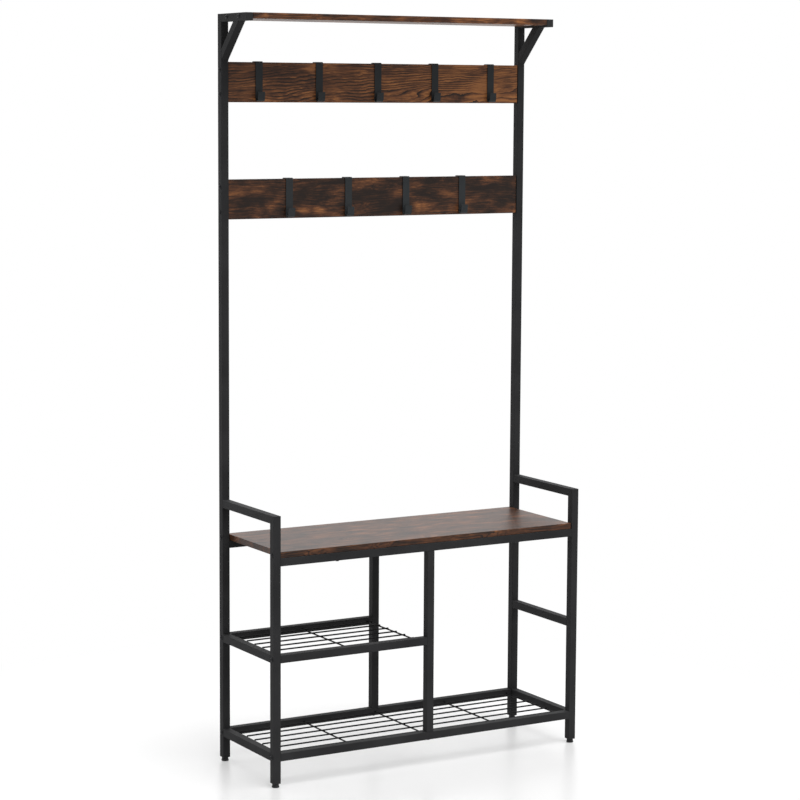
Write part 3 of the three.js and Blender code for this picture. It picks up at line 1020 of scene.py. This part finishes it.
# ---------- stage ----------
def floor_finish():
    # Opal acrylic floor, lit from below and satin: almost white, with faint shadows and a very soft
    # reflection of the feet. It glows white beyond about a metre, as a lit sweep does.
    finish, tree, place = new_finish("opal_acrylic_floor_satin")
    colour = bpy.context.scene.hall_tree_colours.floor
    roll = add_node(tree, "TexNoise", {"Vector": place, "Scale": 3.0, "Detail": 2.0})
    dull = add_node(tree, "MapRange", {"Value": roll.outputs["Fac"], "To Min": 0.27, "To Max": 0.33})
    stretched = add_node(
        tree,
        "VectorMath",
        {0: place, 1: (1.0, 1.15, 1.0), 2: (0.15, -0.15, 0.0)},
        operation="MULTIPLY_ADD",
    )
    distance = add_node(tree, "VectorMath", {0: stretched.outputs["Vector"]}, operation="LENGTH")
    beyond = add_node(
        tree,
        "MapRange",
        {"Value": distance.outputs["Value"], "From Min": 0.75, "From Max": 1.5},
        interpolation_type="SMOOTHSTEP",
    )
    # Each glow has a strength as seen and a weaker one as light, so that undersides stay dark.
    path = add_node(tree, "LightPath")
    as_light = path.outputs["Is Diffuse Ray"]
    near_glow, far_glow = [
        add_node(tree, "MapRange", {"Value": as_light, "To Min": seen, "To Max": cast})
        for seen, cast in ((0.29, 0.05), (1.0, 0.45))
    ]
    near = add_node(
        tree,
        "BsdfPrincipled",
        {
            "Base Color": (*colour, 1),
            "Roughness": dull.outputs["Result"],
            "IOR": 1.35,
            "Emission Color": (1, 1, 1, 1),
            "Emission Strength": near_glow.outputs["Result"],
        },
    )
    far = add_node(tree, "Emission", {"Strength": far_glow.outputs["Result"]})
    both = add_node(
        tree,
        "MixShader",
        {0: beyond.outputs["Result"], 1: near.outputs["BSDF"], 2: far.outputs["Emission"]},
    )
    add_node(tree, "OutputMaterial", {"Surface": both.outputs["Shader"]})
    return finish


def white_surroundings():
    """White all round: full white where it is seen, and as light brightest behind the object."""
    world = bpy.data.worlds.new("White studio")
    bpy.context.scene.world = world
    world.use_nodes = True
    tree = world.node_tree
    tree.nodes.clear()
    seen = add_node(tree, "Background", {"Color": (1, 1, 1, 1), "Strength": 1.0})
    direction = add_node(tree, "TexCoord").outputs["Generated"]
    towards_back_right = add_node(
        tree, "VectorMath", {0: direction, 1: (0.5, 0.866, 0.0)}, operation="DOT_PRODUCT"
    )
    strength = add_node(
        tree,
        "MapRange",
        {
            "Value": towards_back_right.outputs["Value"],
            "From Min": -1.0,
            "From Max": 1.0,
            "To Min": 0.3,
            "To Max": 1.35,
        },
    )
    lighting = add_node(
        tree,
        "Background",
        {"Color": (1, 1, 1, 1), "Strength": strength.outputs["Result"]},
    )
    path = add_node(tree, "LightPath")
    both = add_node(
        tree,
        "MixShader",
        {
            0: path.outputs["Is Camera Ray"],
            1: lighting.outputs["Background"],
            2: seen.outputs["Background"],
        },
    )
    add_node(tree, "OutputWorld", {"Surface": both.outputs["Shader"]})


def soft_key_light():
    """A wide, soft light from overhead, a little in front and to the right."""
    key = bpy.data.lights.new("Soft key", "SUN")
    key.energy = 2.0
    key.angle = math.radians(42)
    lamp = bpy.data.objects.new("Soft key", key)
    towards_floor = Vector((-0.12, 0.42, -0.90))
    lamp.rotation_euler = towards_floor.to_track_quat("-Z", "Y").to_euler()
    bpy.context.scene.collection.objects.link(lamp)


def studio_camera():
    camera = bpy.data.cameras.new("Camera")
    camera.sensor_width = 36
    camera.lens = 108.53
    camera.shift_x = 0.04375
    camera.shift_y = -0.0225
    camera.clip_end = 200
    yaw, pitch, roll = (math.radians(a) for a in (29.722, 6.643, 0.224))
    ahead = Vector((math.sin(yaw) * math.cos(pitch), math.cos(yaw) * math.cos(pitch), -math.sin(pitch)))
    level = Vector((math.cos(yaw), -math.sin(yaw), 0))
    upright = level.cross(ahead)
    right = level * math.cos(roll) + upright * math.sin(roll)
    up = upright * math.cos(roll) - level * math.sin(roll)
    view = bpy.data.objects.new("Camera", camera)
    turn = Matrix((right, up, -ahead)).transposed()
    view.matrix_world = Matrix.Translation((-3.1310, -5.2921, 1.6862)) @ turn.to_4x4()
    bpy.context.scene.collection.objects.link(view)
    bpy.context.scene.camera = view


class HALLTREE_OT_stage(bpy.types.Operator):
    """Sets the pale floor, the white surroundings, the soft light and the camera"""

    bl_idname = "hall_tree.stage"
    bl_label = "Stage"
    bl_options = {"REGISTER", "UNDO"}

    def execute(self, context):
        solid = bmesh.new()
        bmesh.ops.create_circle(solid, cap_ends=True, segments=96, radius=14)
        mesh = bpy.data.meshes.new("Floor")
        solid.to_mesh(mesh)
        solid.free()
        mesh.materials.append(floor_finish())
        floor = bpy.data.objects.new("Floor", mesh)
        context.scene.collection.objects.link(floor)
        white_surroundings()
        soft_key_light()
        studio_camera()
        context.scene.view_settings.view_transform = "Standard"
        return {"FINISHED"}


# ---------- panel and registration ----------
OPERATORS = (
    HALLTREE_OT_stage,
    HALLTREE_OT_side_frames,
    HALLTREE_OT_cross_rails,
    HALLTREE_OT_weld_beads,
    HALLTREE_OT_wire_shelves,
    HALLTREE_OT_boards,
    HALLTREE_OT_hooks,
    HALLTREE_OT_caps,
    HALLTREE_OT_feet,
    HALLTREE_OT_bolts,
    HALLTREE_OT_post_sleeves,
)


class VIEW3D_PT_hall_tree(bpy.types.Panel):
    """Sizes, colours and pieces of the hall tree"""

    bl_label = "Hall Tree"
    bl_idname = "VIEW3D_PT_hall_tree"
    bl_space_type = "VIEW_3D"
    bl_region_type = "UI"
    bl_category = "Hall Tree"

    def draw(self, context):
        for group in (context.scene.hall_tree_sizes, context.scene.hall_tree_colours):
            box = self.layout.box()
            for name in group.__annotations__:
                box.prop(group, name)
        for operator in OPERATORS:
            self.layout.operator(operator.bl_idname)


CLASSES = (HallTreeSizes, HallTreeColours, *OPERATORS, VIEW3D_PT_hall_tree)


def register():
    for cls in CLASSES:
        bpy.utils.register_class(cls)
    bpy.types.Scene.hall_tree_sizes = PointerProperty(type=HallTreeSizes)
    bpy.types.Scene.hall_tree_colours = PointerProperty(type=HallTreeColours)


def unregister():
    del bpy.types.Scene.hall_tree_colours
    del bpy.types.Scene.hall_tree_sizes
    for cls in reversed(CLASSES):
        bpy.utils.unregister_class(cls)


def main():
    register()
    bpy.ops.hall_tree.stage()
    bpy.ops.hall_tree.side_frames()
    bpy.ops.hall_tree.cross_rails()
    bpy.ops.hall_tree.weld_beads()
    bpy.ops.hall_tree.wire_shelves()
    bpy.ops.hall_tree.boards()
    bpy.ops.hall_tree.hooks()
    bpy.ops.hall_tree.caps()
    bpy.ops.hall_tree.feet()
    bpy.ops.hall_tree.bolts()
    bpy.ops.hall_tree.post_sleeves()


if __name__ == "__main__":
    main()
